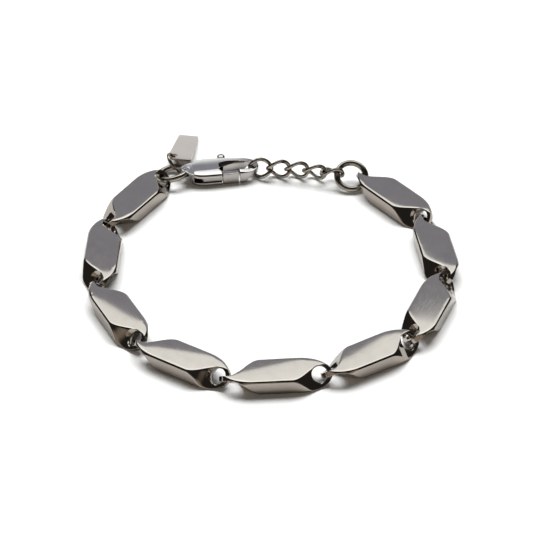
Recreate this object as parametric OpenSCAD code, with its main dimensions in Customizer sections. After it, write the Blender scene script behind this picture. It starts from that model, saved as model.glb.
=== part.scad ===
// Link bracelet lying closed on a table: nine interlocked double-eye links, a lobster
// clasp with a sprung lever, five curb chain links, two jump rings and a small blank tag.
// Lengths are in millimetres. x runs to the right, y to the back with the clasp, z up.

/* [Links] */
// Length of one link from tip to tip
link_length = 20; // [18:0.1:24]
// Width of one link, measured flat on the table
link_width = 6.5; // [5:0.1:9]
// Height of one link above the table
link_height = 3.1; // [2.4:0.1:4]
// Distance between the middles of two linked neighbours
link_pitch = 18; // [16:0.1:20]
// Distance from the link's middle to the point where its end recesses start
recess_start = 2.6; // [2:0.1:4]
// Slant of the plate round each eye, in degrees from the table
eye_slant = 42; // [36:1:46]
// Thickness of the slanted plate round each eye
eye_plate = 1; // [0.8:0.1:1.6]
// Diameter of the eye's hole
eye_hole = 2.9; // [2.6:0.05:3.2]
// Metal left between the eye's hole and the link's tip
eye_rim = 0.82; // [0.6:0.02:1]
// Depth of the countersink on each face of the eye
eye_flare = 0.3; // [0.2:0.05:0.4]

/* [Rings and chain] */
// Wire thickness of the two jump rings
ring_wire = 1.15; // [0.8:0.05:1.4]
// Outer diameter of the two jump rings
ring_diameter = 6.7; // [6:0.1:8]
// Wire thickness of the chain links
chain_wire = 0.68; // [0.5:0.02:0.9]
// Outer length of one chain link
chain_length = 4.95; // [4.4:0.05:6]
// Outer width of one chain link
chain_width = 4.05; // [3.4:0.05:5]
// Twist of a chain link from its middle to either end, in degrees
chain_twist = -42; // [-50:1:-30]

/* [Clasp] */
// Height of the clasp's body above the table
clasp_height = 2.75; // [2.2:0.05:3.6]
// Thickness of each of the body's two plates
clasp_plate = 0.85; // [0.6:0.05:1.1]
// Diameter of the lever's pin
pin_diameter = 0.9; // [0.6:0.05:1.2]
// Free space round the pin in the lever's bore, on the radius
pin_clearance = 0.05; // [0.02:0.01:0.1]

/* [Tag] */
// Length of the blank tag
tag_length = 10.8; // [8:0.1:12]
// Width of the blank tag
tag_width = 3.9; // [3:0.1:6]
// Thickness of the blank tag
tag_thickness = 0.5; // [0.4:0.05:1]

/* [Hidden] */
// Node being built: "all", or the name of one sub-part
// Every sub-part of the object
// Middle of the whole object on the table, in the layout's own coordinates
box_middle = [0.836, 2.136];
// Middle of the first link, at the back left
first_middle = [-24.82, 17.81];
// Direction of each link in degrees, from its back left end round the front to the back right
link_turns = [236, 267, 297, 328, 364, 391, 428, 459, 490];
// Length of the rounding at a link's tip, seen square to the eye's plate
tip_length = 5.7;
// Half width of the link's section along the slanted plate, and square to it
half_along = (link_width * cos(eye_slant) + link_height * sin(eye_slant)) / 2;
half_square = (link_width * sin(eye_slant) + link_height * cos(eye_slant)) / 2;
// Distance from the link's middle to its tip
link_tip = link_length / 2;
// Distance from the link's middle to the middle of an eye
eye_middle = link_tip - eye_rim - eye_hole / 2;
// Slope of an end recess: distance from its start, and share of the depth still left
recess_slope = [[0, 1], [1.5, 0.85], [4.4, 0.15], [5.9, 0]];
// Grey of the links
link_grey = [0.36, 0.35, 0.36];
// Warm grey of the rings and the chain
wire_grey = [0.45, 0.40, 0.36];
// Light grey of the clasp
clasp_grey = [0.62, 0.62, 0.63];
// Satin grey of the tag
tag_grey = [0.75, 0.74, 0.72];

// Unit step along a direction on the table
function along(turn) = [cos(turn), sin(turn)];
// Middle of link i: half a pitch along the link before it, and half a pitch along itself
function link_middle(i) = i == 0 ? first_middle
  : link_middle(i - 1) + link_pitch / 2 * (along(link_turns[i - 1]) + along(link_turns[i]));

// Outline of the clasp seen from above, from its end eye on the left to the hook's end
clasp_outline = [[1.6, -0.6], [1.6, -1.5], [2.2, -2.25], [3.8, -2.75], [7.2, -2.9], [10, -2.9],
  [12.4, -2.75], [13.95, -2.1], [14.75, -0.9], [14.5, 0.6], [13.1, 1.9], [10, 2.8], [7, 3.3],
  [4.8, 3.45], [3.2, 3.25], [2, 2.5], [1.45, 1.5], [1.5, 0.5]];
// Opening of the hook seen from above
hook_opening = [[7.05, -0.9], [7.1, 0.5], [7.8, 1.35], [9, 1.5], [11, 1.2], [12.6, 0.8], [13.6, 0.1],
  [13.6, -0.8], [12.9, -1.4], [11.6, -1.65], [10, -1.7], [8.4, -1.7], [7.35, -1.6]];
// Corner of the clasp's own frame in the layout
clasp_place = [-16.17, 26.28];
// Direction of the clasp in degrees
clasp_turn = 10;
// Middle of the lever's pin in the clasp's frame
pin_middle = [4.2, -1.2];
// Middle of the lever's thumb knob in the clasp's frame
knob_middle = [8.2, 4.35];
// Middle of the end eye: along the clasp and above the table
eye_place = [0.62, 2.06];
// Thickness of the lever's arm between the plates
arm_thickness = 0.9;
// Middle of the left jump ring
ring_left_place = [-18.1, 26.5, 1.59];
// Tilt of the left jump ring
ring_left_tilt = [-11.8, -12.5, 0];
// Middle of the right jump ring
ring_right_place = [16.27, 25, 2.08];
// Tilt of the right jump ring
ring_right_tilt = [28, 6, 0];
// Sections round a chain link
chain_steps = 16;
// Sides of a chain link's wire
chain_sides = 6;
// Middle of each chain link, from the clasp's hook to the right jump ring
chain_places = [[-1.13, 27.67, 1.97], [2.37, 27.27, 2.1], [5.84, 27.01, 2.08], [9.25, 26.44, 2.09],
  [12.6, 25.62, 2.53]];
// Roll, tilt and direction of each chain link in degrees
chain_turns = [[54, -2, -9], [90, 1, -3], [101, -2, -7], [114, -1, -12], [144, -11, -20]];
// Middle of the tag's near edge
tag_place = [-16.88, 29.8, 2.4];
// Slope and direction of the tag in degrees
tag_turn = [-11.2, 0, -9];
// Width of the tag at its near end, where the hole is
tag_near_width = 4.8;
// Middle of the tag's hole from the middle of its near edge
tag_hole_place = [-1.3, 1];
// Diameter of the tag's hole
tag_hole = 1.6;
// Middle of the small ring that passes through the tag's hole and the left jump ring
tag_ring_place = [-17.71, 28.93, 2.09];
// Outer diameter of the tag's ring
tag_ring_outer = 4.85;
// Wire thickness of the tag's ring
tag_ring_wire = 0.66;
// Tilt of the tag's ring
tag_ring_tilt = [0, 56.5, 6.9];

// Closed smooth curve through a few points, three steps from each to the next
function smooth(p) = [for (i = [0:len(p) - 1]) let (a = p[(i + len(p) - 1) % len(p)], b = p[i],
  c = p[(i + 1) % len(p)], d = p[(i + 2) % len(p)]) for (t = [0, 1 / 3, 2 / 3])
  ((2 * b) + (c - a) * t + (2 * a - 5 * b + 4 * c - d) * t * t + (3 * b - a - 3 * c + d) * t * t * t) / 2];

// Outline of the bar and its rounded ends, square to the slanted plate of the right eye
module plate_outline() rotate([eye_slant, 0, 0]) linear_extrude(20, center = true) polygon([
  [-link_tip - 1, -half_along],
  for (a = [-90:12:90]) [link_tip - tip_length + tip_length * cos(a), half_along * sin(a)],
  [-link_tip - 1, half_along]]);

// Ramped recess above the slanted plate, as wide as the link
module end_recess() rotate([90, 0, 0]) linear_extrude(20, center = true) polygon([
  for (r = recess_slope) [recess_start + r[0], eye_plate / 2 + (half_square - eye_plate / 2) * r[1]],
  [link_tip + 1, eye_plate / 2], [link_tip + 1, 6], [recess_start, 6]]);

// Both recesses of the right end, its eye and the countersinks on both faces
module eye_cut() rotate([eye_slant, 0, 0]) {
  for (s = [0, 1]) mirror([0, 0, s]) {
    end_recess();
    translate([eye_middle, 0, eye_plate / 2 - eye_flare])
      cylinder(h = eye_flare + 0.001, d1 = eye_hole, d2 = eye_hole + 2 * eye_flare, $fn = 64);
  }
  translate([eye_middle, 0, 0]) cylinder(h = 12, d = eye_hole, center = true, $fn = 64);
}

// One link about its own middle: its left end is the right end turned over
module link() difference() {
  intersection() {
    cube([link_length, link_width, link_height], center = true);
    plate_outline();
    rotate([0, 180, 0]) plate_outline();
  }
  eye_cut();
  rotate([0, 180, 0]) eye_cut();
}

// Link i at its place in the loop
module placed_link(i) at_layout() color(link_grey)
  translate([link_middle(i)[0], link_middle(i)[1], link_height / 2])
  rotate(link_turns[i]) link();

// Body with its two plates, spine, hook and end eye
module clasp_body_shape() difference() {
  union() {
    linear_extrude(clasp_height) polygon(smooth(clasp_outline));
    translate([eye_place[0], 0.5, eye_place[1]]) rotate([90, 0, 0]) cylinder(h = 1, r = 1.3, $fn = 64);
  }
  translate([0, 0, -1]) linear_extrude(6) polygon(smooth(hook_opening));
  // gate's place in the near side
  translate([7.35, -4, -1]) cube([3.45, 2.6, 6]);
  // slot for the lever's arm between the plates
  translate([2, -4, clasp_plate]) cube([6, 5.4, clasp_height - 2 * clasp_plate]);
  // slot for the knob's neck through the spine
  translate([4.6, 1, clasp_plate]) cube([4, 3, clasp_height - 2 * clasp_plate]);
  // hook's end thins from below and a little from above
  rotate([90, 0, 0]) linear_extrude(12, center = true) {
    polygon([[11.9, -1], [11.9, 0], [12.9, 1.38], [16, 1.38], [16, -1]]);
    polygon([[11, 4], [11, clasp_height], [13, 2.5], [16, 2.5], [16, 4]]);
  }
  // end eye and pin bore
  translate([eye_place[0], 1.7, eye_place[1]]) rotate([90, 0, 0]) cylinder(h = 2.5, r = 0.9, $fn = 64);
  translate([pin_middle[0], pin_middle[1], -1]) cylinder(h = 6, d = pin_diameter, $fn = 32);
}

// Lever: gate, arm with its bore, neck and thumb knob
module clasp_lever_shape() difference() {
  union() {
    translate([0, 0, (clasp_height - arm_thickness) / 2]) linear_extrude(arm_thickness) polygon([
      [3.1, -1.9], [3.8, -2.5], [7.8, -2.65], [8.6, -2.6], [8.6, -1.8], [7.4, -1.75], [6.8, -1.2],
      [6.7, 0.3], [7.1, 1.5], [8.35, 2.4], [8.6, 4.2], [7.7, 4.2], [6, 2], [4.5, 0], [3.2, -0.6]]);
    translate([0, 0, 0.15]) linear_extrude(2.35) polygon([
      [7.5, -2.75], [9, -2.8], [10.6, -2.8], [10.6, -1.75], [9, -1.8], [7.5, -1.75]]);
    translate([knob_middle[0], knob_middle[1], 0.65]) cylinder(h = 1.5, r = 0.8, $fn = 48);
  }
  translate([pin_middle[0], pin_middle[1], -1])
    cylinder(h = 6, d = pin_diameter + 2 * pin_clearance, $fn = 32);
}

// Pin of the lever, flush with both plates
module clasp_pin_shape() translate([pin_middle[0], pin_middle[1], 0])
  cylinder(h = clasp_height, d = pin_diameter, $fn = 32);

// Round wire ring of an outer diameter, lying flat about its own middle
module wire_ring(outer, wire) rotate_extrude($fn = 96)
  translate([(outer - wire) / 2, 0]) circle(d = wire, $fn = 24);

// Middle line of a chain link's wire: an oval, twisted along its length
function chain_spot(t, out, up) = let (
  half_long = (chain_length - chain_wire) / 2, half_wide = (chain_width - chain_wire) / 2,
  lean = atan2(half_long * sin(t), half_wide * cos(t)),
  x = half_long * cos(t) + out * cos(lean), s = half_wide * sin(t) + out * sin(lean),
  roll = chain_twist * cos(t))
  [x, s * cos(roll) - up * sin(roll), s * sin(roll) + up * cos(roll)];

// Twisted curb link about its own middle
module chain_link() polyhedron(
  points = [for (i = [0:chain_steps - 1], j = [0:chain_sides - 1])
    chain_spot(360 * i / chain_steps, chain_wire / 2 * cos(360 * j / chain_sides),
      chain_wire / 2 * sin(360 * j / chain_sides))],
  faces = [for (i = [0:chain_steps - 1], j = [0:chain_sides - 1], half = [0, 1]) let (
    a = i * chain_sides, b = (i + 1) % chain_steps * chain_sides, k = (j + 1) % chain_sides)
    half == 0 ? [a + j, b + k, b + j] : [a + j, a + k, b + k]]);

// Blank tag, its near edge at the origin and its far end along y
module tag_shape() difference() {
  translate([0, 0, -tag_thickness / 2]) linear_extrude(tag_thickness) polygon([
    [-tag_near_width / 2 + 0.4, 0], [tag_near_width / 2 - 0.4, 0], [tag_near_width / 2 - 0.1, 0.12],
    [tag_near_width / 2, 0.4], [tag_width / 2, tag_length - 0.5], [tag_width / 2 - 0.15, tag_length - 0.15],
    [tag_width / 2 - 0.5, tag_length], [0.5 - tag_width / 2, tag_length],
    [0.15 - tag_width / 2, tag_length - 0.15], [-tag_width / 2, tag_length - 0.5],
    [-tag_near_width / 2, 0.4], [0.1 - tag_near_width / 2, 0.12]]);
  translate([tag_hole_place[0], tag_hole_place[1], 0])
    cylinder(h = 3, d = tag_hole, center = true, $fn = 48);
}

// Moves the layout so that the middle of the whole object stands over the origin
module at_layout() translate([-box_middle[0], -box_middle[1], 0]) children();

// Puts a piece of the clasp at its place in the layout
module at_clasp() at_layout() color(clasp_grey)
  translate([clasp_place[0], clasp_place[1], 0]) rotate(clasp_turn) children();

// Chain link i at its place, from the hook to the right jump ring
module chain_at(i) at_layout() color(wire_grey)
  translate(chain_places[i]) rotate(chain_turns[i]) chain_link();

// A jump ring at its place and tilt
module jump_ring_at(place, tilt) at_layout() color(wire_grey)
  translate(place) rotate(tilt) wire_ring(ring_diameter, ring_wire);

// The tag, hanging back from its ring down to the table
module placed_tag() at_layout() color(tag_grey)
  translate(tag_place) rotate(tag_turn) tag_shape();

// The tag's ring at its place and tilt
module placed_tag_ring() at_layout() color(wire_grey)
  translate(tag_ring_place) rotate(tag_ring_tilt) wire_ring(tag_ring_outer, tag_ring_wire);

placed_link(0);  // link_1
placed_link(1);  // link_2
placed_link(2);  // link_3
placed_link(3);  // link_4
placed_link(4);  // link_5
placed_link(5);  // link_6
placed_link(6);  // link_7
placed_link(7);  // link_8
placed_link(8);  // link_9
jump_ring_at(ring_left_place, ring_left_tilt);  // jump_ring_left
jump_ring_at(ring_right_place, ring_right_tilt);  // jump_ring_right
chain_at(0);  // chain_link_1
chain_at(1);  // chain_link_2
chain_at(2);  // chain_link_3
chain_at(3);  // chain_link_4
chain_at(4);  // chain_link_5
at_clasp() clasp_body_shape();  // clasp_body
at_clasp() clasp_pin_shape();  // clasp_pin
at_clasp() clasp_lever_shape();  // clasp_lever
placed_tag();  // tag
placed_tag_ring();  // tag_ring
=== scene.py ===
"""Link bracelet: polished double-eye links, clasp with its lever, curb chain, rings and a blank tag.

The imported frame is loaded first. Each operator shapes one group of pieces over its solids and gives it
its finish, and the studio operator adds the floor, the light and the camera.
"""

import bpy
import numpy as np
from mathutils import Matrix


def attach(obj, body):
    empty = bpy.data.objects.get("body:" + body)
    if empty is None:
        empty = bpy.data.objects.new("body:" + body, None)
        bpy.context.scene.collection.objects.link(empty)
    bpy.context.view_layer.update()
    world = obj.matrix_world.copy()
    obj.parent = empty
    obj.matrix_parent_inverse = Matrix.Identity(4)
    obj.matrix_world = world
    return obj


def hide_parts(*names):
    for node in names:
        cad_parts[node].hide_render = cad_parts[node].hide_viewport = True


bl_info = {
    "name": "Link Bracelet",
    "version": (1, 0, 0),
    "blender": (4, 5, 0),
    "location": "View3D > Sidebar > Bracelet",
    "description": "Shapes and finishes a polished link bracelet over its packed solids",
    "category": "Object",
}

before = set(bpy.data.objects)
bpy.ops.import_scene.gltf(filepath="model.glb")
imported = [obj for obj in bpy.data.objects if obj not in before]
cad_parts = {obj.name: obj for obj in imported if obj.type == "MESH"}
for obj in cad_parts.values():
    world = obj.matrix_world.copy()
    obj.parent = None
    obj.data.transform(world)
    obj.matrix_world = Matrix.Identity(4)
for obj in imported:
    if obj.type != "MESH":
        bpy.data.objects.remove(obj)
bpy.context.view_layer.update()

MM = 0.001
BODY = "bracelet"
LEVER_BODY = "clasp_lever"

# Layout in millimetres, as in the part's source
BOX_MIDDLE = np.array([0.836, 2.136, 0.0])
FIRST_MIDDLE = np.array([-24.82, 17.81])
LINK_TURNS = (236, 267, 297, 328, 364, 391, 428, 459, 490)
LINK_PITCH = 18.0
CLASP_PLACE = np.array([-16.17, 26.28, 0.0])
CLASP_TURN = 10
PIN_MIDDLE = (4.2, -1.2)
KNOB_MIDDLE = (8.2, 4.35, 1.4)
EYE_MIDDLE = np.array([0.62, 0.0, 2.06])
JUMP_RINGS = {
    "jump_ring_left": ((-18.1, 26.5, 1.59), (-11.8, -12.5, 0), 205),
    "jump_ring_right": ((16.27, 25, 2.08), (28, 6, 0), 250),
}
CHAIN_PLACES = ((-1.13, 27.67, 1.97), (2.37, 27.27, 2.1), (5.84, 27.01, 2.08), (9.25, 26.44, 2.09),
                (12.6, 25.62, 2.53))
CHAIN_TURNS = ((54, -2, -9), (90, 1, -3), (101, -2, -7), (114, -1, -12), (144, -11, -20))
TAG_PLACE = np.array([-16.88, 29.8, 2.4])
TAG_TURN = (-11.2, 0, -9)
TAG_RING = ((-17.71, 28.93, 2.09), (0, 56.5, 6.9), 130)
TAG_HOLE = (-1.3, 1, 0)

# Turn that stands a flat outline up, so that its second number is a height
UPRIGHT = (90, 0, 0)

# Outlines of the clasp seen from above, in its own frame, and its lengthwise line of greatest height
CROWN_LINE = -0.75
CLASP_OUTLINE = ((1.6, -0.6), (1.6, -1.5), (2.2, -2.25), (3.8, -2.75), (7.2, -2.9), (10, -2.9),
                 (12.4, -2.75), (13.95, -2.1), (14.75, -0.9), (14.5, 0.6), (13.1, 1.9), (10, 2.8),
                 (7, 3.3), (4.8, 3.45), (3.2, 3.25), (2, 2.5), (1.45, 1.5), (1.5, 0.5))
HOOK_OPENING = ((7.05, -0.9), (7.1, 0.5), (7.8, 1.35), (9, 1.5), (11, 1.2), (12.6, 0.8), (13.6, 0.1),
                (13.6, -0.8), (12.9, -1.4), (11.6, -1.65), (10, -1.7), (8.4, -1.7), (7.35, -1.6))
ARM_OUTLINE = ((3.1, -1.9), (3.8, -2.5), (7.8, -2.65), (8.6, -2.6), (8.6, -1.8), (7.4, -1.75),
               (6.8, -1.2), (6.7, 0.3), (7.1, 1.5), (8.35, 2.4), (8.6, 4.2), (7.7, 4.2), (6, 2),
               (4.5, 0), (3.2, -0.6))
NECK_OUTLINE = ((-0.25, -0.8), (0.2, -1), (0.55, -1.3), (0.9, -1.65), (1.3, -1.95), (1.9, -2.1),
                (2.2, -1.7), (2.2, 2.3), (1.5, 2), (0.75, 1.4), (0.1, 0.8), (-0.3, 0.2))
GATE_OUTLINE = ((7.5, -2.75), (9, -2.8), (10.6, -2.8), (10.6, -1.75), (9, -1.8), (7.5, -1.75))

# Side views of the neck plate and of what is cut off the hook's tip, as x and height
NECK_SIDE = ((-0.4, 2.72), (2, 2.5), (2, 2.72), (0.9, 2.92), (-0.1, 2.95), (-0.4, 2.85))
LOW_WEDGE = ((11.9, -1), (16, -1), (16, 1.38), (12.9, 1.38), (11.9, 0))
TOP_WEDGE = ((13, 2.5), (16, 2.5), (16, 4), (11, 4))

# Room for the lever in the clasp's body, as a pair of x and a pair of y
GATE_PLACE = ((7.35, 10.8), (-4, -1.4))
ARM_SLOT = ((2, 8), (-4, 1.4))
NECK_SLOT = ((4.6, 8.6), (1, 4))


def turn(points, degrees):
    """Turns points about x, then about y, then about z, by three angles in degrees."""
    a, b, c = np.radians(degrees)
    about_x = np.array([[1, 0, 0], [0, np.cos(a), -np.sin(a)], [0, np.sin(a), np.cos(a)]])
    about_y = np.array([[np.cos(b), 0, np.sin(b)], [0, 1, 0], [-np.sin(b), 0, np.cos(b)]])
    about_z = np.array([[np.cos(c), -np.sin(c), 0], [np.sin(c), np.cos(c), 0], [0, 0, 1]])
    return points @ (about_z @ about_y @ about_x).T


def to_frame(points):
    """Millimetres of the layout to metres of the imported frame: less the box's middle, times 0.001."""
    return (points - BOX_MIDDLE) * MM


def put_mesh(name, points, quads, triangles=None):
    """A mesh from whole arrays of points, four-sided faces and three-sided faces."""
    triangles = np.zeros((0, 3), int) if triangles is None else triangles
    mesh = bpy.data.meshes.new(name)
    corners = np.concatenate([quads.ravel(), triangles.ravel()]).astype(np.int32)
    starts = np.concatenate([np.arange(len(quads)) * 4, len(quads) * 4 + np.arange(len(triangles)) * 3])
    mesh.vertices.add(len(points))
    mesh.vertices.foreach_set("co", points.astype(np.float32).ravel())
    mesh.loops.add(len(corners))
    mesh.loops.foreach_set("vertex_index", corners)
    mesh.polygons.add(len(starts))
    mesh.polygons.foreach_set("loop_start", starts.astype(np.int32))
    mesh.update(calc_edges=True)
    mesh.validate()
    return mesh


def ring_mesh(name, rows, closed=False):
    """Joins rings of points (ring, place on the ring, xyz) with quads.

    Each quad runs from a point to the next one on its ring and to the same two on the next ring. An
    open run of rings ends in a pole at the mean of its first and of its last ring.
    """
    count, around = rows.shape[:2]
    ring = np.arange(count if closed else count - 1)[:, None]
    place = np.arange(around)[None, :]
    after, beside = (ring + 1) % count, (place + 1) % around
    quads = np.stack([ring * around + place, ring * around + beside, after * around + beside,
                      after * around + place], -1).reshape(-1, 4)
    points = rows.reshape(-1, 3)
    if closed:
        return put_mesh(name, points, quads)
    poles = np.stack([rows[0].mean(0), rows[-1].mean(0)])
    first, step = count * around, np.arange(around)
    last_ring = (count - 1) * around
    start = np.stack([np.full(around, first), (step + 1) % around, step], -1)
    end = np.stack([np.full(around, first + 1), last_ring + step, last_ring + (step + 1) % around], -1)
    return put_mesh(name, np.concatenate([points, poles]), quads, np.concatenate([start, end]))


def smooth_curve(points, steps):
    """Closed smooth curve: between b and c with neighbours a and d, the Catmull-Rom cubic

    (2b + (c - a)t + (2a - 5b + 4c - d)t^2 + (3b - a - 3c + d)t^3) / 2, for t from 0 to 1 in equal steps.
    """
    b = np.array(points, float)
    a, c, d = np.roll(b, 1, 0), np.roll(b, -1, 0), np.roll(b, -2, 0)
    t = (np.arange(steps) / steps)[None, :, None]
    a, b, c, d = (p[:, None, :] for p in (a, b, c, d))
    curve = (2 * b + (c - a) * t + (2 * a - 5 * b + 4 * c - d) * t**2
             + (3 * b - a - 3 * c + d) * t**3) / 2
    return curve.reshape(-1, 2)


def pillow(outline, centre, low, high, power, rows=40):
    """A domed solid over an outline.

    With the angle f from -90 to 90 degrees, the outline shrinks towards its centre by
    cos(f)^(2/power), and the height runs from low to high as sin(f)^(2/power) with its sign kept.
    """
    f = np.linspace(-np.pi / 2, np.pi / 2, rows)[1:-1]
    shrink = np.cos(f) ** (2 / power)
    height = np.sign(np.sin(f)) * np.abs(np.sin(f)) ** (2 / power)
    flat = np.array(centre) + (np.array(outline)[None] - centre) * shrink[:, None, None]
    z = (low + high) / 2 + height * (high - low) / 2
    return np.concatenate([flat, np.broadcast_to(z[:, None, None], flat.shape[:2] + (1,))], -1)


def slab(name, outline, low, high, tilt=(0, 0, 0)):
    """A mesh of an outline carried straight up from low to high, then turned by the tilt."""
    flat, count = np.array(outline, float), len(outline)
    points = np.concatenate([np.column_stack([flat, np.full(count, z)]) for z in (low, high)])
    step = np.arange(count)
    beside = (step + 1) % count
    sides = np.stack([step, beside, beside + count, step + count], -1).tolist()
    mesh = bpy.data.meshes.new(name)
    mesh.from_pydata(turn(points, tilt).tolist(), [],
                     [*sides, step[::-1].tolist(), (step + count).tolist()])
    return mesh


def block(name, x, y, z):
    """A mesh of a box between pairs of x, y and z values."""
    return slab(name, ((x[0], y[0]), (x[1], y[0]), (x[1], y[1]), (x[0], y[1])), *z)


def turned_profile(radii, heights, around=96):
    """A profile spun about z: at each height, a ring of that radius."""
    angle = np.linspace(0, 2 * np.pi, around, endpoint=False)
    radii, heights = np.array(radii, float), np.array(heights, float)
    return np.stack([radii[:, None] * np.cos(angle), radii[:, None] * np.sin(angle),
                     np.broadcast_to(heights[:, None], (len(radii), around))], -1)


def standing(name, profile, middle):
    """A mesh of a turned profile with its axis laid along y, about a middle point."""
    return ring_mesh(name, turn(profile, UPRIGHT) + middle)


def piece(name, mesh):
    """An object in the scene that holds a mesh."""
    thing = bpy.data.objects.new(name, mesh)
    bpy.context.scene.collection.objects.link(thing)
    return thing


def worked(mesh, steps):
    """The mesh after a list of modifiers, each a kind with its settings, worked out at once."""
    thing = piece(mesh.name, mesh)
    helpers = []
    for kind, settings in steps:
        modifier = thing.modifiers.new(kind.title(), kind)
        for key, value in settings.items():
            if key == "object":
                value = piece("helper", value)
                helpers.append(value)
            setattr(modifier, key, value)
    bpy.context.view_layer.update()
    graph = bpy.context.evaluated_depsgraph_get()
    result = bpy.data.meshes.new_from_object(thing.evaluated_get(graph))
    for old in [thing, *helpers]:
        bpy.data.objects.remove(old)
    return result


def cut(*meshes):
    """Boolean steps that take each mesh away."""
    return [("BOOLEAN", {"operation": "DIFFERENCE", "solver": "EXACT", "object": m}) for m in meshes]


def join(*meshes):
    """Boolean steps that add each mesh."""
    return [("BOOLEAN", {"operation": "UNION", "solver": "EXACT", "object": m}) for m in meshes]


def softened(size, rounds):
    """Steps that rebuild a mesh in even cells of a size and round its edges."""
    return [("REMESH", {"mode": "VOXEL", "voxel_size": size, "use_smooth_shade": True}),
            ("SMOOTH", {"factor": 0.5, "iterations": rounds})]


def points_of(mesh):
    """All points of a mesh as an array."""
    flat = np.empty(len(mesh.vertices) * 3, np.float32)
    mesh.vertices.foreach_get("co", flat)
    return flat.reshape(-1, 3).astype(float)


def placed(mesh, points, own):
    """Moves a mesh to its final points, and keeps each point's own place as an attribute."""
    mesh.vertices.foreach_set("co", to_frame(points).astype(np.float32).ravel())
    kept = mesh.attributes.get("own_place") or mesh.attributes.new("own_place", "FLOAT_VECTOR", "POINT")
    kept.data.foreach_set("vector", own.astype(np.float32).ravel())
    mesh.update()


def shade(mesh, angle=35):
    """Smooth shading, with edges sharper than the angle left crisp."""
    mesh.polygons.foreach_set("use_smooth", np.ones(len(mesh.polygons), bool))
    mesh.set_sharp_from_angle(angle=np.radians(angle))


def dress(name, mesh, node, material, body=BODY):
    """Hangs a finished piece on its body in place of a solid."""
    mesh.materials.clear()
    mesh.materials.append(material)
    thing = piece(name, mesh)
    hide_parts(node)
    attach(thing, body)


def times(colour, share):
    """A colour made brighter or darker by a share."""
    return tuple(share * c for c in colour)


def metal(name, tint, shadow, roughness, haze, grain=(60, 900, 900), relief=0.02, rim=(1, 1, 1)):
    """Polished metal: a cloudy tint, hairline scratches in the polish, and a trace of relief.

    The colour wavers between tint and shadow over a few millimetres. Where the metal is seen from the
    side its reflection takes the rim's tint: a dark rim is painted shade, dark outlines standing in for
    the dark room that the edges would reflect. The roughness rises from its value by haze along
    hairlines stretched by the three grain scales, in the piece's own place.
    """
    material = bpy.data.materials.new(name)
    material.use_nodes = True
    nodes, wires = material.node_tree.nodes, material.node_tree.links
    shader = nodes["Principled BSDF"]
    shader.inputs["Metallic"].default_value = 1.0
    # With a dark rim this grazing tint is painted shade: it darkens the reflection at the edges in place
    # of the dark room reflected there
    shader.inputs["Specular Tint"].default_value = (*rim, 1)

    own = nodes.new("ShaderNodeAttribute")
    own.attribute_name = "own_place"
    cloud = nodes.new("ShaderNodeTexNoise")
    cloud.inputs["Scale"].default_value = 0.35
    cloud.inputs["Detail"].default_value = 3
    wires.new(own.outputs["Vector"], cloud.inputs["Vector"])
    tone = nodes.new("ShaderNodeMix")
    tone.data_type = "RGBA"
    tone.inputs["A"].default_value = (*shadow, 1)
    tone.inputs["B"].default_value = (*tint, 1)
    span = nodes.new("ShaderNodeMapRange")
    span.inputs["From Min"].default_value = 0.3
    span.inputs["From Max"].default_value = 0.6
    wires.new(cloud.outputs["Fac"], span.inputs["Value"])
    wires.new(span.outputs["Result"], tone.inputs["Factor"])
    wires.new(tone.outputs["Result"], shader.inputs["Base Color"])

    stretch = nodes.new("ShaderNodeMapping")
    stretch.inputs["Scale"].default_value = [g * MM for g in grain]
    wires.new(own.outputs["Vector"], stretch.inputs["Vector"])
    hair = nodes.new("ShaderNodeTexNoise")
    hair.inputs["Scale"].default_value = 8
    hair.inputs["Detail"].default_value = 5
    wires.new(stretch.outputs["Vector"], hair.inputs["Vector"])
    polish = nodes.new("ShaderNodeMapRange")
    polish.inputs["From Min"].default_value = 0.45
    polish.inputs["From Max"].default_value = 0.75
    polish.inputs["To Min"].default_value = roughness
    polish.inputs["To Max"].default_value = roughness + haze
    wires.new(hair.outputs["Fac"], polish.inputs["Value"])
    wires.new(polish.outputs["Result"], shader.inputs["Roughness"])

    bump = nodes.new("ShaderNodeBump")
    bump.inputs["Strength"].default_value = relief
    bump.inputs["Distance"].default_value = 0.00002
    wires.new(hair.outputs["Fac"], bump.inputs["Height"])
    wires.new(bump.outputs["Normal"], shader.inputs["Normal"])
    return material


def recess_height(x, start, length, corner, plate):
    """Half height of the end plate and its ramp above the slanted middle plane, at x along the link.

    With t running from 0 at the ramp's start to 1 at its end, it is
    plate + (corner - plate) * (1 + cos(180 degrees * t)) / 2.
    """
    t = np.clip((x - start) / length, 0, 1)
    return plate + (corner - plate) * (1 + np.cos(np.pi * t)) / 2


def corners_between(angles, distances):
    """Corner between each side of a polygon and the next one, for many rings at once.

    A side faces along its angle, at its distance from the middle. Of all points where two sides cross
    and that no side cuts off, the corner is the furthest one in the direction halfway between the two
    angles, so a side that others hide shrinks to a point of the outline.
    """
    normals = np.stack([np.cos(angles), np.sin(angles)], -1)
    first, second = np.triu_indices(angles.shape[1], 1)
    (ax, ay), (bx, by) = np.moveaxis(normals[:, first], -1, 0), np.moveaxis(normals[:, second], -1, 0)
    da, db = distances[:, first], distances[:, second]
    cross = ax * by - ay * bx
    flat = np.abs(cross) < 1e-6
    cross = np.where(flat, 1, cross)
    points = np.stack([(da * by - db * ay) / cross, (ax * db - bx * da) / cross], -1)
    inside = (np.einsum("rpk,rsk->rps", points, normals) <= distances[:, None] + 1e-7).all(-1) & ~flat
    halfway = (angles + np.concatenate([angles[:, 1:], angles[:, :1] + 2 * np.pi], 1)) / 2
    toward = np.stack([np.cos(halfway), np.sin(halfway)], -1)
    reach = np.where(inside[:, None], np.einsum("rpk,rsk->rsp", points, toward), -1e9)
    return np.take_along_axis(points, reach.argmax(-1)[..., None], 1)


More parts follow.
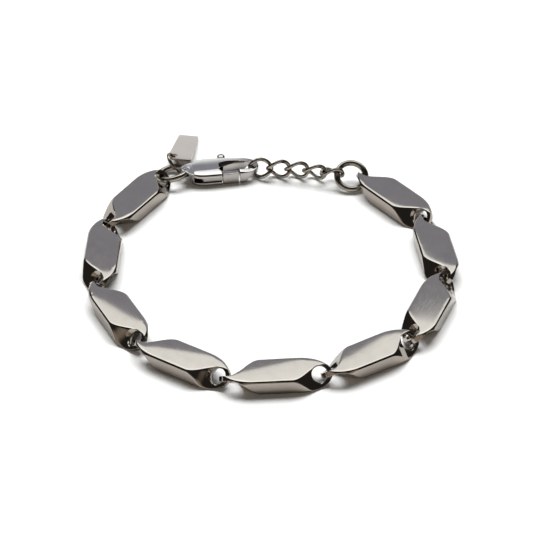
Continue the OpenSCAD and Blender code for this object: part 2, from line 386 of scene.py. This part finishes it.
def softened_rings(angles, distances, power, spans):
    """Rings round polygons with softened corners.

    The points crowd at both ends of each side. Each lies in its direction n from the middle, at the
    distance (sum of (n.side / distance)^power)^(-1/power) over the sides that it faces. Each ring has
    its own power.
    """
    corner = corners_between(angles, distances)
    share = ((1 - np.cos(np.pi * np.arange(spans) / spans)) / 2)[:, None]
    sharp = np.roll(corner, 1, 1)[:, :, None] * (1 - share) + corner[:, :, None] * share
    sharp = sharp.reshape(len(angles), -1, 2)
    size = np.linalg.norm(sharp, axis=-1)
    normals = np.stack([np.cos(angles), np.sin(angles)], -1)
    facing = np.einsum("rpk,rsk->rps", sharp / size[..., None], normals)
    pull = (np.maximum(facing, 0) / distances[:, None]) ** power[:, None, None]
    return sharp / size[..., None] * (pull.sum(-1) ** (-1 / power[:, None]))[..., None]


def link_rows(sizes):
    """The link's skin as rings across its length.

    x runs from tip to tip as a sine, so the rings crowd at the tips. Each ring is a polygon with soft
    corners: the bar's top, bottom and sides, the two faces of the slanted plate with their ramps, and
    the outline square to that plate, an ellipse at the tip. The left end is the right end turned over.
    Last, z falls with the squares of y and x and with the sixth power of x, and the faces twist by x
    times y.
    """
    half_l, half_w, half_h = sizes.length / 2 / MM, sizes.width / 2 / MM, sizes.height / 2 / MM
    slant, rim, tip, plate, easing = sizes.eye_slant, 0.25, 5.7, 0.5, 3
    broad = half_w * np.cos(slant) + half_h * np.sin(slant) - sizes.bevel / MM
    corner = half_w * np.sin(slant) + half_h * np.cos(slant) - sizes.bevel / MM
    x = half_l * np.sin(np.linspace(-np.pi / 2, np.pi / 2, sizes.rings)[1:-1])
    along = np.abs(x)
    inward = np.minimum(half_l - along, rim)
    height = recess_height(along, sizes.recess_start / MM, sizes.recess_length / MM, corner, plate)
    height = height - rim + np.sqrt(rim**2 - (rim - inward) ** 2)
    width = broad * np.sqrt(1 - np.clip((along - (half_l - tip)) / tip, 0, 1) ** 2)

    right = (x >= 0)[:, None]
    quarter = np.pi / 2
    half_turn = np.where(right, (0, slant, quarter, quarter + slant),
                         (0, quarter - slant, quarter, 2 * quarter - slant))
    angles = np.concatenate([half_turn, half_turn + 2 * quarter], 1)
    full_w, full_h = np.full(len(x), half_w), np.full(len(x), half_h)
    half_sides = np.where(right, np.stack([full_w, width, full_h, height], -1),
                          np.stack([full_w, height, full_h, width], -1))
    distances = np.concatenate([half_sides, half_sides], 1)
    ramp = np.clip((along - sizes.recess_start / MM) / easing, 0, 1) ** 2
    power = sizes.edge_power + (sizes.end_power - sizes.edge_power) * ramp
    flat = softened_rings(angles, distances, power, sizes.spans)
    y, z = flat[..., 0], flat[..., 1]
    far = x[:, None] / half_l
    fall = sizes.crown / MM / half_h * ((y / half_w) ** 2 + 0.8 * far**2 + 3 * far**6)
    z = z * (1 - fall) + sizes.twist * x[:, None] * y
    return np.stack([np.broadcast_to(x[:, None], y.shape), y, z], -1)


def link_mesh(sizes):
    """One link about its own middle: its skin, with both eyes bored square to their slanted plates."""
    hole, rim = sizes.eye_hole / 2 / MM, 0.86
    heights = np.array([-6, -0.51, -0.46, -0.38, -0.25, 0, 0.25, 0.38, 0.46, 0.51, 6])
    flare = np.array([0.2, 0.2, 0.12, 0.05, 0.01, 0, 0.01, 0.05, 0.12, 0.2, 0.2])
    bore = turned_profile(hole + flare, heights)
    middle = sizes.length / 2 / MM - rim - hole
    right = turn(bore + (middle, 0, 0), (np.degrees(sizes.eye_slant), 0, 0))
    left = right * (-1, 1, -1)
    steps = [("WELD", {"merge_threshold": 0.002})]
    steps += cut(ring_mesh("bore", right), ring_mesh("bore", left))
    mesh = worked(ring_mesh("link", link_rows(sizes)), steps)
    shade(mesh)
    return worked(mesh, [("WEIGHTED_NORMAL", {"keep_sharp": True})])


class BraceletLinks(bpy.types.PropertyGroup):
    """Sizes and colours of the links"""

    length: bpy.props.FloatProperty(name="Length", description="Link from tip to tip", default=0.02,
                                    unit="LENGTH")
    width: bpy.props.FloatProperty(name="Width", description="Link across", default=0.0065, unit="LENGTH")
    height: bpy.props.FloatProperty(name="Height", description="Link above the table", default=0.0031,
                                    unit="LENGTH")
    recess_start: bpy.props.FloatProperty(name="Recess start", default=0.0026, unit="LENGTH",
                                          description="From the middle to the start of the end recesses")
    recess_length: bpy.props.FloatProperty(name="Recess ramp", default=0.0059, unit="LENGTH",
                                           description="Length of the ramp down to the eye's plate")
    eye_hole: bpy.props.FloatProperty(name="Eye hole", description="Diameter of the eye's hole",
                                      default=0.0028, unit="LENGTH")
    eye_slant: bpy.props.FloatProperty(name="Eye slant", description="Slant of the plate round each eye",
                                       default=np.radians(42), subtype="ANGLE")
    crown: bpy.props.FloatProperty(name="Crown", description="Fall of the top towards its long edges",
                                   default=0.000036, unit="LENGTH")
    twist: bpy.props.FloatProperty(name="Twist", description="Rise of the faces by length times width",
                                   default=0.002, precision=4)
    edge_power: bpy.props.FloatProperty(name="Edge power", description="Higher is crisper", default=60)
    end_power: bpy.props.FloatProperty(name="End power", default=26,
                                       description="The same for the edges round the end recesses")
    bevel: bpy.props.FloatProperty(name="Bevel", description="How far the long edges are taken back",
                                   default=0.00021, unit="LENGTH")
    rings: bpy.props.IntProperty(name="Rings", description="Rings from tip to tip", default=200)
    spans: bpy.props.IntProperty(name="Spans", description="Points on each side of a ring", default=16)
    tint: bpy.props.FloatVectorProperty(name="Tint", description="Colour of the polished steel",
                                        subtype="COLOR", default=(0.33, 0.293, 0.261))
    shadow: bpy.props.FloatVectorProperty(name="Tarnish", description="Colour of its darker clouds",
                                          subtype="COLOR", default=(0.306, 0.273, 0.245))


class BraceletWire(bpy.types.PropertyGroup):
    """Sizes and colours of the rings and the chain"""

    ring_diameter: bpy.props.FloatProperty(name="Ring diameter", default=0.0067, unit="LENGTH",
                                           description="Jump ring across its outside")
    ring_wire: bpy.props.FloatProperty(name="Ring wire", description="Wire of the jump rings",
                                       default=0.00115, unit="LENGTH")
    chain_length: bpy.props.FloatProperty(name="Chain link length", default=0.00495, unit="LENGTH",
                                          description="Curb link along its outside")
    chain_width: bpy.props.FloatProperty(name="Chain link width", default=0.00405, unit="LENGTH",
                                         description="Curb link across its outside")
    chain_wire: bpy.props.FloatProperty(name="Chain wire", description="Wire of the curb links",
                                        default=0.00076, unit="LENGTH")
    chain_twist: bpy.props.FloatProperty(name="Twist", description="Roll of a curb link at its ends",
                                         default=np.radians(-42), subtype="ANGLE")
    tag_ring_diameter: bpy.props.FloatProperty(name="Tag ring diameter", default=0.00485, unit="LENGTH",
                                               description="Tag's ring across its outside")
    tag_ring_wire: bpy.props.FloatProperty(name="Tag ring wire", description="Wire of the tag's ring",
                                           default=0.00066, unit="LENGTH")
    tint: bpy.props.FloatVectorProperty(name="Tint", description="Colour of the wire", subtype="COLOR",
                                        default=(0.34, 0.31, 0.278))
    shadow: bpy.props.FloatVectorProperty(name="Tarnish", description="Colour of its darker clouds",
                                          subtype="COLOR", default=(0.27, 0.243, 0.215))
    # Painted shade: this dark grazing tint draws dark outlines along the rings and chain, in place of the
    # dark room reflected at their edges
    rim: bpy.props.FloatVectorProperty(name="Rim", description="Tint of the wire seen from the side",
                                       subtype="COLOR", default=(0.3, 0.25, 0.21))


class BraceletClasp(bpy.types.PropertyGroup):
    """Sizes and colours of the clasp and the tag"""

    height: bpy.props.FloatProperty(name="Clasp height", description="Body above the table",
                                    default=0.00275, unit="LENGTH")
    plate: bpy.props.FloatProperty(name="Plate", description="Each plate of the body", default=0.00085,
                                   unit="LENGTH")
    edge_power: bpy.props.FloatProperty(name="Edge power", default=10,
                                        description="Higher is crisper at the body's rim")
    dome: bpy.props.FloatProperty(name="Dome", description="Fall of the top plate, per mm across squared",
                                  default=0.037, precision=4)
    cell: bpy.props.FloatProperty(name="Cell", description="Cell size of the softened body",
                                  default=0.00007, unit="LENGTH", precision=6)
    tint: bpy.props.FloatVectorProperty(name="Tint", description="Colour of the clasp", subtype="COLOR",
                                        default=(0.38, 0.355, 0.335))
    tag_length: bpy.props.FloatProperty(name="Tag length", description="Blank tag along its slope",
                                        default=0.0108, unit="LENGTH")
    tag_near: bpy.props.FloatProperty(name="Tag width at its hole", description="Near end of the tag",
                                      default=0.0048, unit="LENGTH")
    tag_far: bpy.props.FloatProperty(name="Tag width at its end", description="Far end of the tag",
                                     default=0.0039, unit="LENGTH")
    tag_tint: bpy.props.FloatVectorProperty(name="Tag tint", description="Colour of the satin tag",
                                            subtype="COLOR", default=(0.445, 0.384, 0.344))


class BraceletStudio(bpy.types.PropertyGroup):
    """Floor, light and camera"""

    floor: bpy.props.FloatVectorProperty(name="Floor", description="Colour of the floor",
                                         subtype="COLOR", default=(0.95, 0.95, 0.95))
    distance: bpy.props.FloatProperty(name="Distance", description="From the camera to the floor point",
                                      default=0.513, unit="LENGTH")
    elevation: bpy.props.FloatProperty(name="Elevation", description="Camera above the floor",
                                       default=np.radians(39), subtype="ANGLE")
    lens: bpy.props.FloatProperty(name="Lens", description="Focal length", default=187.1, unit="CAMERA")
    lamp: bpy.props.FloatProperty(name="Floor lamp", description="Power of the lamp on the floor",
                                  default=9.3, subtype="POWER")
    panel: bpy.props.FloatVectorProperty(name="Panel", description="Colour of the bright panel behind",
                                         subtype="COLOR", default=(0.92, 0.99, 1.0))
    wall: bpy.props.FloatVectorProperty(name="Wall", description="Colour of the wall behind",
                                        subtype="COLOR", default=(0.44, 0.465, 0.55))
    warm: bpy.props.FloatVectorProperty(name="Warm front", description="Colour low in front of the table",
                                        subtype="COLOR", default=(0.44, 0.38, 0.31))
    dark: bpy.props.FloatVectorProperty(name="Dark room", description="Colour of the rest of the room",
                                        subtype="COLOR", default=(0.03, 0.028, 0.026))
    strength: bpy.props.FloatProperty(name="Room strength", description="Brightness of the whole room",
                                      default=1.25)


class BRACELET_OT_links(bpy.types.Operator):
    """Shape the nine polished links with their slanted eyes"""

    bl_idname = "bracelet.links"
    bl_label = "Links"

    def execute(self, context):
        sizes = context.scene.bracelet_links
        steel = metal("polished_gunmetal", sizes.tint, sizes.shadow, 0.035, 0.05)
        base = link_mesh(sizes)
        own = points_of(base)
        turns = np.array(LINK_TURNS, float)
        ways = np.stack([np.cos(np.radians(turns)), np.sin(np.radians(turns))], -1)
        steps = LINK_PITCH / 2 * (ways[:-1] + ways[1:])
        middles = FIRST_MIDDLE + np.concatenate([np.zeros((1, 2)), np.cumsum(steps, 0)])
        for i, (way, middle) in enumerate(zip(turns, middles)):
            mesh = base.copy()
            mesh.name = f"link_{i + 1}_skin"
            points = turn(own, (0, 0, way)) + (*middle, sizes.height / 2 / MM)
            placed(mesh, points, own + (30.0 * i, 0, 0))
            shade(mesh)
            dress(f"polished_link_{i + 1}", mesh, f"link_{i + 1}", steel)
        return {"FINISHED"}


def wire_ring(name, outer, wire, place, tilt, seam, around=144, sides=40):
    """A round wire ring, cut once at the angle seam, its two ends pressed together.

    The wire's middle runs a circle of radius (outer - wire) / 2, and its section is a circle of
    diameter wire that draws in to 0.86 of it over the last 0.7 degrees at either end.
    """
    gap, edge, pressed = 0.35, 0.7, 0.86
    run = np.linspace(gap, 360 - gap, around)[1:-1]
    run = np.concatenate([[gap, gap + edge], run, [360 - gap - edge, 360 - gap]])
    thick = np.full(len(run), wire / 2)
    thick[[0, -1]] *= pressed
    a = np.radians(run + seam)[:, None]
    t = np.linspace(0, 2 * np.pi, sides, endpoint=False)[None]
    radius = (outer - wire) / 2 + thick[:, None] * np.cos(t)
    up = np.broadcast_to(thick[:, None] * np.sin(t), radius.shape)
    rows = np.stack([radius * np.cos(a), radius * np.sin(a), up], -1)
    own = np.stack([a * (outer - wire) / 2 + 0 * radius, radius - outer / 2, up], -1)
    mesh = ring_mesh(name, rows[::-1])
    points = points_of(mesh)
    own = np.concatenate([own[::-1].reshape(-1, 3), np.zeros((2, 3))])
    placed(mesh, turn(points, tilt) + place, own)
    shade(mesh, 50)
    return mesh


class BRACELET_OT_rings(bpy.types.Operator):
    """Shape the two jump rings and the tag's small ring"""

    bl_idname = "bracelet.rings"
    bl_label = "Rings"

    def execute(self, context):
        sizes = context.scene.bracelet_wire
        # The rim tint paints dark outlines (painted shade) onto the wire's edges
        wire = metal("polished_wire", sizes.tint, sizes.shadow, 0.05, 0.07, (200, 900, 900),
                     rim=sizes.rim)
        for node, (place, tilt, seam) in JUMP_RINGS.items():
            mesh = wire_ring(node + "_skin", sizes.ring_diameter / MM, sizes.ring_wire / MM, place, tilt,
                             seam)
            dress("polished_" + node, mesh, node, wire)
        place, tilt, seam = TAG_RING
        mesh = wire_ring("tag_ring_skin", sizes.tag_ring_diameter / MM, sizes.tag_ring_wire / MM, place,
                         tilt, seam)
        dress("polished_tag_ring", mesh, "tag_ring", wire)
        return {"FINISHED"}


def chain_rows(sizes):
    """A curb link as rings along its wire, and each point's own place.

    The wire's middle is the oval (long cos(t), wide sin(t)), rolled about its long axis by twist times
    cos(t), and its section is a circle square to the oval.
    """
    wire, core = sizes.chain_wire / MM, 0.7
    long, wide = (sizes.chain_length / MM - core) / 2, (sizes.chain_width / MM - core) / 2
    t = np.linspace(0, 2 * np.pi, 120, endpoint=False)[:, None]
    about = np.linspace(0, 2 * np.pi, 28, endpoint=False)[None]
    out, up = wire / 2 * np.cos(about), wire / 2 * np.sin(about)
    lean = np.arctan2(long * np.sin(t), wide * np.cos(t))
    x, s = long * np.cos(t) + out * np.cos(lean), wide * np.sin(t) + out * np.sin(lean)
    roll = sizes.chain_twist * np.cos(t)
    rows = np.stack([x, s * np.cos(roll) - up * np.sin(roll), s * np.sin(roll) + up * np.cos(roll)], -1)
    own = np.stack([t * 2 + 0 * x, out + 0 * x, up + 0 * x], -1)
    return rows[::-1], own[::-1].reshape(-1, 3)


class BRACELET_OT_chain(bpy.types.Operator):
    """Shape the five twisted curb links"""

    bl_idname = "bracelet.chain"
    bl_label = "Chain"

    def execute(self, context):
        sizes = context.scene.bracelet_wire
        # The rim tint paints dark outlines (painted shade) onto the wire's edges
        steel = metal("dark_wire", times(sizes.tint, 0.9), sizes.shadow, 0.06, 0.08, (200, 900, 900),
                      rim=sizes.rim)
        rows, own = chain_rows(sizes)
        for i, (place, tilt) in enumerate(zip(CHAIN_PLACES, CHAIN_TURNS)):
            mesh = ring_mesh(f"chain_link_{i + 1}_skin", rows, closed=True)
            placed(mesh, turn(points_of(mesh), tilt) + place, own + (20.0 * i, 0, 0))
            shade(mesh)
            dress(f"polished_chain_link_{i + 1}", mesh, f"chain_link_{i + 1}", steel)
        return {"FINISHED"}


def opening_rows(height):
    """Rings of the hook's opening, from below the table to above the clasp.

    Its far wall slopes at 45 degrees from the top edge. The slope is deepest behind the plate's edge,
    ends at x = 12.2, and fades out where the far wall turns.
    """
    outline = smooth_curve(HOOK_OPENING, 6)[::-1]
    x, y = outline.T
    along, across = np.clip((12.2 - x) / 4.7, 0, 1), np.clip((y - 0.2) / 1.1, 0, 1)
    depth = 0.95 * along * across + 0.02
    places = ((depth, -1 + 0 * x), (depth, height - depth), (0 * x, height + 0 * x), (0 * x, 5 + 0 * x))
    return np.stack([np.column_stack([x, y - inward, z]) for inward, z in places])


def at_clasp(points):
    """From the clasp's own frame to the layout: turned, then moved to the clasp's place."""
    return turn(points, (0, 0, CLASP_TURN)) + CLASP_PLACE


def clasp_neck():
    """The thin plate over the end eye: its side view carried along y, kept within its plan."""
    plan = slab("plan", smooth_curve(NECK_OUTLINE, 4), -1, 5)
    keep = [("BOOLEAN", {"operation": "INTERSECT", "solver": "EXACT", "object": plan})]
    return worked(slab("neck", NECK_SIDE, -4, 4, UPRIGHT), keep)


def clasp_body(sizes):
    """The clasp's body in its place: two plates with room for the lever, the hook and the end eye.

    The top falls with the square of the distance from the crown line. That fall grows from nothing at
    the top plate's underside to its whole at the top.
    """
    high, plate = sizes.height / MM, sizes.plate / MM
    through, between = (-1, 5), (plate, high - plate)
    outline = smooth_curve(CLASP_OUTLINE, 6)
    body = ring_mesh("clasp_body_skin", pillow(outline, (8, -0.1), 0, high, sizes.edge_power))
    disc = turned_profile((0.9, 1.03, 1.1, 1.1, 1.03, 0.9), (-0.5, -0.47, -0.35, 0.35, 0.47, 0.5))
    hole = turned_profile((1.02, 0.9, 0.9, 1.02), (-1.7, -0.4, 0.4, 0.9))
    steps = join(standing("disc", disc, EYE_MIDDLE)) + cut(standing("hole", hole, EYE_MIDDLE))
    steps += join(clasp_neck())
    steps += cut(
        ring_mesh("opening", opening_rows(high)),
        block("gate_place", *GATE_PLACE, through),
        block("arm_slot", *ARM_SLOT, between),
        block("neck_slot", *NECK_SLOT, between),
        slab("low_wedge", LOW_WEDGE, -6, 6, UPRIGHT),
        slab("top_wedge", ((11, high), *TOP_WEDGE), -6, 6, UPRIGHT),
    )
    mesh = worked(worked(body, steps), softened(sizes.cell / MM, 3))
    own = points_of(mesh)
    upper = np.clip((own[:, 2] - high + plate) / plate, 0, 1)
    own[:, 2] -= upper * sizes.dome * (own[:, 1] - CROWN_LINE) ** 2
    placed(mesh, at_clasp(own), own)
    shade(mesh, 80)
    return mesh


def clasp_pin():
    """The lever's pin in its place: a short bar with broken edges, held in the two plates."""
    mesh = ring_mesh("clasp_pin_skin", turned_profile((0.4, 0.45, 0.45, 0.4), (0.3, 0.35, 2.35, 2.4)))
    own = points_of(mesh) + (*PIN_MIDDLE, 0)
    placed(mesh, at_clasp(own), own)
    shade(mesh)
    return mesh


class BRACELET_OT_clasp(bpy.types.Operator):
    """Shape the clasp's body with its two plates, hook, neck and end eye, and the lever's pin"""

    bl_idname = "bracelet.clasp"
    bl_label = "Clasp body"

    def execute(self, context):
        sizes = context.scene.bracelet_clasp
        steel = metal("bright_clasp", sizes.tint, times(sizes.tint, 0.92), 0.06, 0.05)
        dress("polished_clasp_body", clasp_body(sizes), "clasp_body", steel)
        dress("polished_clasp_pin", clasp_pin(), "clasp_pin", steel)
        return {"FINISHED"}


def clasp_lever(sizes):
    """The lever in its place: a flat arm with the hook's gate and a domed knob, bored for the pin."""
    middle, half_arm = sizes.height / 2 / MM, 0.45
    arm = slab("clasp_lever_skin", ARM_OUTLINE, middle - half_arm, middle + half_arm)
    gate = slab("gate", GATE_OUTLINE, 0.15, 2.5)
    knob = turned_profile((0.3, 0.6, 0.76, 0.82, 0.82, 0.78, 0.65, 0.4, 0.15),
                          (-0.75, -0.73, -0.64, -0.45, -0.1, 0.15, 0.35, 0.48, 0.52), 64)
    knob = ring_mesh("knob", knob + KNOB_MIDDLE)
    bore = ring_mesh("bore", turned_profile((0.5, 0.5), (-1, 5)) + (*PIN_MIDDLE, 0))
    mesh = worked(worked(arm, join(gate, knob) + cut(bore)), softened(sizes.cell / MM, 4))
    own = points_of(mesh)
    placed(mesh, at_clasp(own), own)
    shade(mesh, 80)
    return mesh


class BRACELET_OT_lever(bpy.types.Operator):
    """Shape the clasp's lever with its gate, arm and thumb knob"""

    bl_idname = "bracelet.lever"
    bl_label = "Clasp lever"

    def execute(self, context):
        sizes = context.scene.bracelet_clasp
        steel = metal("bright_lever", times(sizes.tint, 0.88), times(sizes.tint, 0.8), 0.06, 0.05)
        dress("polished_clasp_lever", clasp_lever(sizes), "clasp_lever", steel, LEVER_BODY)
        return {"FINISHED"}


def blank_tag(sizes):
    """The tag in its place: a thin pillow over a tapered outline with small round corners, and its hole.

    Over the angle t, the unit square's point is (cos(t), sin(t)) times
    (|cos(t)|^18 + |sin(t)|^18)^(-1/18). Its height gives y along the tag, and its width is stretched
    from the near half width to the far one.
    """
    near, far, long = sizes.tag_near / MM / 2, sizes.tag_far / MM / 2, sizes.tag_length / MM
    half_thick, corner_power = 0.25, 18
    t = np.linspace(0, 2 * np.pi, 240, endpoint=False)
    cx, cy = np.cos(t), np.sin(t)
    square = (np.abs(cx) ** corner_power + np.abs(cy) ** corner_power) ** (-1 / corner_power)
    y = (cy * square + 1) / 2
    outline = np.stack([cx * square * (near + (far - near) * y), y * long], -1)
    rows = pillow(outline, (0, long / 2), -half_thick, half_thick, 16, 26)
    hole = turned_profile((1.0, 0.84, 0.8, 0.8, 0.84, 1.0), (-0.4, -0.25, -0.12, 0.12, 0.25, 0.4))
    mesh = worked(ring_mesh("tag_skin", rows), cut(ring_mesh("hole", hole + TAG_HOLE)))
    own = points_of(mesh)
    placed(mesh, turn(own, TAG_TURN) + TAG_PLACE, own)
    shade(mesh)
    return mesh


class BRACELET_OT_tag(bpy.types.Operator):
    """Shape the blank satin tag with its hole"""

    bl_idname = "bracelet.tag"
    bl_label = "Tag"

    def execute(self, context):
        sizes = context.scene.bracelet_clasp
        satin = metal("satin_tag", sizes.tag_tint, times(sizes.tag_tint, 0.96), 0.3, 0.05,
                      (900, 60, 900), 0.01)
        dress("satin_tag", blank_tag(sizes), "tag", satin)
        return {"FINISHED"}


class BRACELET_OT_studio(bpy.types.Operator):
    """Add the pale floor, the soft light and the camera"""

    bl_idname = "bracelet.studio"
    bl_label = "Studio"

    def execute(self, context):
        look = context.scene.bracelet_studio
        self.floor(look)
        self.light(look)
        self.camera(look)
        context.scene.view_settings.view_transform = "Standard"
        return {"FINISHED"}

    def floor(self, look):
        """A round floor of 3 m radius, flat at the table's height."""
        radius, count, below = 3, 128, -1e-5
        t = np.linspace(0, 2 * np.pi, count, endpoint=False)
        ring = np.stack([radius * np.cos(t), radius * np.sin(t), np.full(count, below)], -1)
        mesh = bpy.data.meshes.new("floor")
        mesh.from_pydata(ring.tolist(), [], [list(range(count))])
        thing = piece("floor", mesh)
        material = bpy.data.materials.new("pale_floor")
        material.use_nodes = True
        shader = material.node_tree.nodes["Principled BSDF"]
        shader.inputs["Roughness"].default_value = 0.8
        shader.inputs["Specular IOR Level"].default_value = 0.1
        shader.inputs["Base Color"].default_value = (*look.floor, 1)
        mesh.materials.append(material)

    def light(self, look):
        """The room's light by direction, and a lamp that lights the floor from behind.

        Height is a direction's angle above the horizon, and side is its angle from straight behind, in
        degrees. The wall glows at the horizon, is grey from 27 up, and meets the edge of the bright
        panel at 40. The panel brightens up to 52.5 and ends by 74. Both fade out to the sides, into a
        dark room that is warm low down in front.
        """
        world = bpy.data.worlds.new("studio")
        bpy.context.scene.world = world
        world.use_nodes = True
        nodes, wires = world.node_tree.nodes, world.node_tree.links
        ground = nodes["Background"]
        place = nodes.new("ShaderNodeTexCoord")
        split = nodes.new("ShaderNodeSeparateXYZ")
        wires.new(place.outputs["Generated"], split.inputs["Vector"])

        def math(kind, *values):
            node = nodes.new("ShaderNodeMath")
            node.operation = kind
            for i, value in enumerate(values):
                wires.new(value, node.inputs[i])
            return node.outputs["Value"]

        def step(socket, start, stop):
            node = nodes.new("ShaderNodeMapRange")
            node.interpolation_type = "SMOOTHSTEP"
            node.inputs["From Min"].default_value = start
            node.inputs["From Max"].default_value = stop
            wires.new(socket, node.inputs["Value"])
            return node.outputs["Result"]

        def mix(factor, first, second):
            node = nodes.new("ShaderNodeMix")
            node.data_type = "RGBA"
            wires.new(factor, node.inputs["Factor"])
            for value, key in ((first, "A"), (second, "B")):
                if isinstance(value, tuple):
                    node.inputs[key].default_value = (*value, 1)
                else:
                    wires.new(value, node.inputs[key])
            return node.outputs["Result"]

        height = math("DEGREES", math("ARCSINE", split.outputs["Z"]))
        side = math("ARCTAN2", split.outputs["X"], split.outputs["Y"])
        side = math("ABSOLUTE", math("DEGREES", side))
        dark = tuple(look.dark)
        glow = mix(step(height, 4, 27), times(look.panel, 1.5), tuple(look.wall))
        wall = mix(step(side, 26, 44), glow, dark)
        low, full = times(look.panel, 1.8), times(look.panel, 2.65)
        panel = mix(step(side, 42, 66), mix(step(height, 41, 52.5), low, full), dark)
        panel = mix(step(height, 68, 74), panel, dark)
        warm = mix(step(height, 30, 35), tuple(look.warm), dark)
        wall = mix(step(side, 120, 134), wall, warm)
        room = mix(step(height, 39.7, 40.3), wall, panel)
        wires.new(room, ground.inputs["Color"])
        ground.inputs["Strength"].default_value = look.strength

        lamp = bpy.data.lights.new("floor_lamp", "AREA")
        lamp.shape, lamp.size, lamp.size_y, lamp.energy = "RECTANGLE", 1.0, 0.5, look.lamp
        lamp.color = (1, 0.98, 0.96)
        thing = bpy.data.objects.new("floor_lamp", lamp)
        bpy.context.scene.collection.objects.link(thing)
        behind, above = 0.45, 0.8
        thing.location = (0, behind, above)
        thing.rotation_euler = (-np.arctan2(behind, above), 0, 0)
        thing.visible_glossy = False

    def camera(self, look):
        """The camera looks level across x, down by the elevation at the layout's own origin."""
        data = bpy.data.cameras.new("camera")
        data.lens, data.sensor_width, data.clip_start = look.lens, 36, 0.01
        thing = bpy.data.objects.new("camera", data)
        bpy.context.scene.collection.objects.link(thing)
        above = look.elevation
        away = look.distance * np.array([0, -np.cos(above), np.sin(above)])
        thing.location = away - BOX_MIDDLE * MM
        thing.rotation_euler = (np.pi / 2 - above, 0, 0)
        bpy.context.scene.camera = thing


class BRACELET_PT_pieces(bpy.types.Panel):
    """Buttons and settings for the bracelet's pieces"""

    bl_idname = "BRACELET_PT_pieces"
    bl_label = "Link bracelet"
    bl_space_type = "VIEW_3D"
    bl_region_type = "UI"
    bl_category = "Bracelet"

    def draw(self, context):
        for operator in OPERATORS:
            self.layout.operator(operator.bl_idname)
        for group in ("bracelet_links", "bracelet_wire", "bracelet_clasp", "bracelet_studio"):
            values = getattr(context.scene, group)
            box = self.layout.box()
            for key in values.bl_rna.properties.keys():
                if key not in {"rna_type", "name"}:
                    box.prop(values, key)


OPERATORS = (BRACELET_OT_links, BRACELET_OT_rings, BRACELET_OT_chain, BRACELET_OT_clasp,
             BRACELET_OT_lever, BRACELET_OT_tag, BRACELET_OT_studio)
GROUPS = {"bracelet_links": BraceletLinks, "bracelet_wire": BraceletWire,
          "bracelet_clasp": BraceletClasp, "bracelet_studio": BraceletStudio}


def register():
    """Adds the settings to the scene, and the operators and the panel to Blender."""
    for kind in (*GROUPS.values(), *OPERATORS, BRACELET_PT_pieces):
        bpy.utils.register_class(kind)
    for name, kind in GROUPS.items():
        setattr(bpy.types.Scene, name, bpy.props.PointerProperty(type=kind))


def unregister():
    """Takes them all away again."""
    for name in GROUPS:
        delattr(bpy.types.Scene, name)
    for kind in (BRACELET_PT_pieces, *reversed(OPERATORS), *reversed(GROUPS.values())):
        bpy.utils.unregister_class(kind)


def main():
    """Registers the add-on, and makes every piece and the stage."""
    register()
    bpy.ops.bracelet.links()
    bpy.ops.bracelet.rings()
    bpy.ops.bracelet.chain()
    bpy.ops.bracelet.clasp()
    bpy.ops.bracelet.lever()
    bpy.ops.bracelet.tag()
    bpy.ops.bracelet.studio()


if __name__ == "__main__":
    main()
